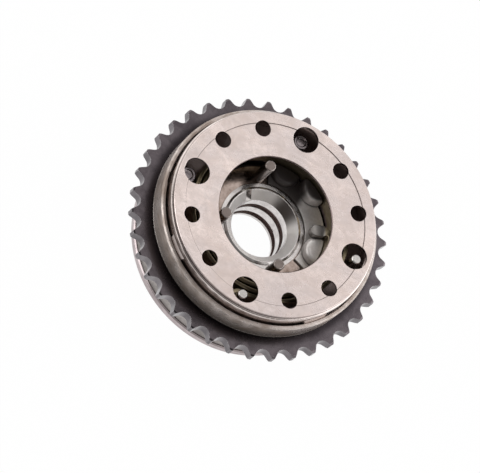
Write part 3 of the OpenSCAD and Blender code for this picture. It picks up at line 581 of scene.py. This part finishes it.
# Painted shade on the plate's cut edges and its underside.
plate_sides = either(plate_steel, ramp(plate_steel, plate_lean, -0.15, -0.4),
                     ramp(plate_steel, plate_lean, 0.8, 0.9))
plate_under = either(plate_steel, plate_sides, ramp(plate_steel, plate_up, -0.4, -0.7))
plate_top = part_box("front_plate")[1].z
# Painted shade in the corner of the turned step, under a dull film.
step_wall = ramp(plate_steel, radius_on(plate_steel), STEP_R - 0.45 * MM, STEP_R - 0.15 * MM)
step_floor = ramp(plate_steel, height_on(plate_steel), plate_top - 0.1 * MM, plate_top - 0.2 * MM)
step_corner = share(plate_steel, share(plate_steel, step_wall, step_floor), 0.75)
tint_towards(plate_steel, smoke, SMOKE_GREY)
tint_towards(plate_steel, smear, SMEAR_BROWN)
tint_towards(plate_steel, shade_across, PLATE_SHADE)
tint_towards(plate_steel, plate_under, PLATE_UNDER_SHADE)
shaded_film(plate_steel, share(plate_steel, step_corner, ramp(plate_steel, plate_up, 0.5, 0.9)), STEP_SHADE)
dress(["front_plate"], plate_steel)

# Floor
# Plain white table that the part lies on. It shows as an even white, straight or mirrored in the
# metal, with a faint shadow. Seen from below it is clear, so the rear shows.
FLOOR_HALF = 3.0
FLOOR_GAP = 0.02 * MM
FLOOR_GLOW = 0.985
floor_mesh = bpy.data.meshes.new("floor")
floor_corners = [(x * FLOOR_HALF, y * FLOOR_HALF, -FLOOR_GAP)
                 for x, y in ((-1, -1), (1, -1), (1, 1), (-1, 1))]
floor_mesh.from_pydata(floor_corners, [], [(0, 1, 2, 3)])
floor = bpy.data.objects.new("floor", floor_mesh)
bpy.context.scene.collection.objects.link(floor)
table_white = blank_finish("table_white")
table_white.node_tree.nodes.clear()
seen = shader(table_white, "ShaderNodeLightPath").outputs
direct = either(table_white, seen["Is Camera Ray"], seen["Is Glossy Ray"])
direct = either(table_white, direct, seen["Is Transmission Ray"])
matt = shader(table_white, "ShaderNodeBsdfDiffuse", Color=(0.9, 0.9, 0.9, 1))
glow = shader(table_white, "ShaderNodeEmission", Color=(1, 1, 1, 1), Strength=1.0)
tabletop = shader(table_white, "ShaderNodeMixShader", i0=share(table_white, direct, FLOOR_GLOW),
                  i1=matt.outputs[0], i2=glow.outputs[0])
from_below = shader(table_white, "ShaderNodeNewGeometry").outputs["Backfacing"]
clear = shader(table_white, "ShaderNodeBsdfTransparent")
table = shader(table_white, "ShaderNodeMixShader", i0=from_below, i1=tabletop.outputs[0],
               i2=clear.outputs[0])
shader(table_white, "ShaderNodeOutputMaterial", Surface=table.outputs[0])
floor_mesh.materials.append(table_white)

# Light
# A dim room with a pale horizon, a broad soft light overhead at the back, and two smaller ones
# low on the left and at the back left. Two square soft lamps stand at the back right and the left.
ROOM_WHITE = (1, 0.985, 0.97, 1)
LAMP_AIM = Vector((0, 0, 20 * MM))
room = bpy.data.worlds.new("room")
bpy.context.scene.world = room
room.use_nodes = True
room.node_tree.nodes.clear()
direction = shader(room, "ShaderNodeTexCoord").outputs["Generated"]


def sky_light(towards, wide, narrow, level, under):
    """Adds a soft round light in one direction of the room to the level under it. It fades from
    the narrow to the wide angle, in degrees."""
    along = vector_maths(room, "DOT_PRODUCT", "Value", direction, tuple(Vector(towards).normalized()))
    spot = ramp(room, along, math.cos(math.radians(wide)), math.cos(math.radians(narrow)), 0, level)
    return maths(room, "ADD", spot, under)


def soft_lamp(name, place, size, watts):
    """A square soft lamp that faces the part."""
    lamp = bpy.data.lights.new(name, "AREA")
    lamp.shape = "SQUARE"
    lamp.size = size
    lamp.energy = watts
    holder = bpy.data.objects.new(name, lamp)
    holder.location = place
    holder.rotation_euler = (LAMP_AIM - Vector(place)).to_track_quat("-Z", "Y").to_euler()
    bpy.context.scene.collection.objects.link(holder)


elevation = shader(room, "ShaderNodeSeparateXYZ", Vector=direction).outputs["Z"]
horizon = ramp(room, elevation, 0.62, 0.22, 0.15, 0.9)
overhead = sky_light((0.32, 0.62, 0.72), wide=60, narrow=22, level=0.80, under=horizon)
low_left = sky_light((-0.87, 0.06, 0.34), wide=26, narrow=12, level=0.6, under=overhead)
back_left = sky_light((-0.64, 0.66, 0.4), wide=34, narrow=16, level=0.9, under=low_left)
sky = shader(room, "ShaderNodeBackground", Color=ROOM_WHITE, Strength=back_left)
shader(room, "ShaderNodeOutputWorld", Surface=sky.outputs[0])
soft_lamp("lamp_back", (0.98, 0.3, 0.62), size=1.45, watts=8.0)
soft_lamp("lamp_left", (-1.08, -0.36, 0.38), size=0.8, watts=3.4)

# Camera
# Long lens that looks down on the part from the front left. Its place, angle and roll were solved
# from the photograph's circle of holes and its tooth tips.
AIM = Vector((-6.8567, -8.8414, 24.6)) * MM
DISTANCE = 1413.21 * MM
AZIMUTH = math.radians(23.695)
ELEVATION = math.radians(59.754)
ROLL = math.radians(49.155)
SENSOR_WIDTH, LENS = 36.0, 251.975
level_back = Vector((-math.sin(AZIMUTH), -math.cos(AZIMUTH), 0))
back = level_back * math.cos(ELEVATION) + UP * math.sin(ELEVATION)
camera = bpy.data.objects.new("camera", bpy.data.cameras.new("camera"))
camera.data.sensor_width = SENSOR_WIDTH
camera.data.lens = LENS
camera.location = AIM + back * DISTANCE
camera.rotation_mode = "QUATERNION"
camera.rotation_quaternion = (-back).to_track_quat("-Z", "Y") @ Quaternion((0, 0, 1), ROLL)
bpy.context.scene.collection.objects.link(camera)
bpy.context.scene.camera = camera
bpy.context.scene.view_settings.view_transform = "Standard"
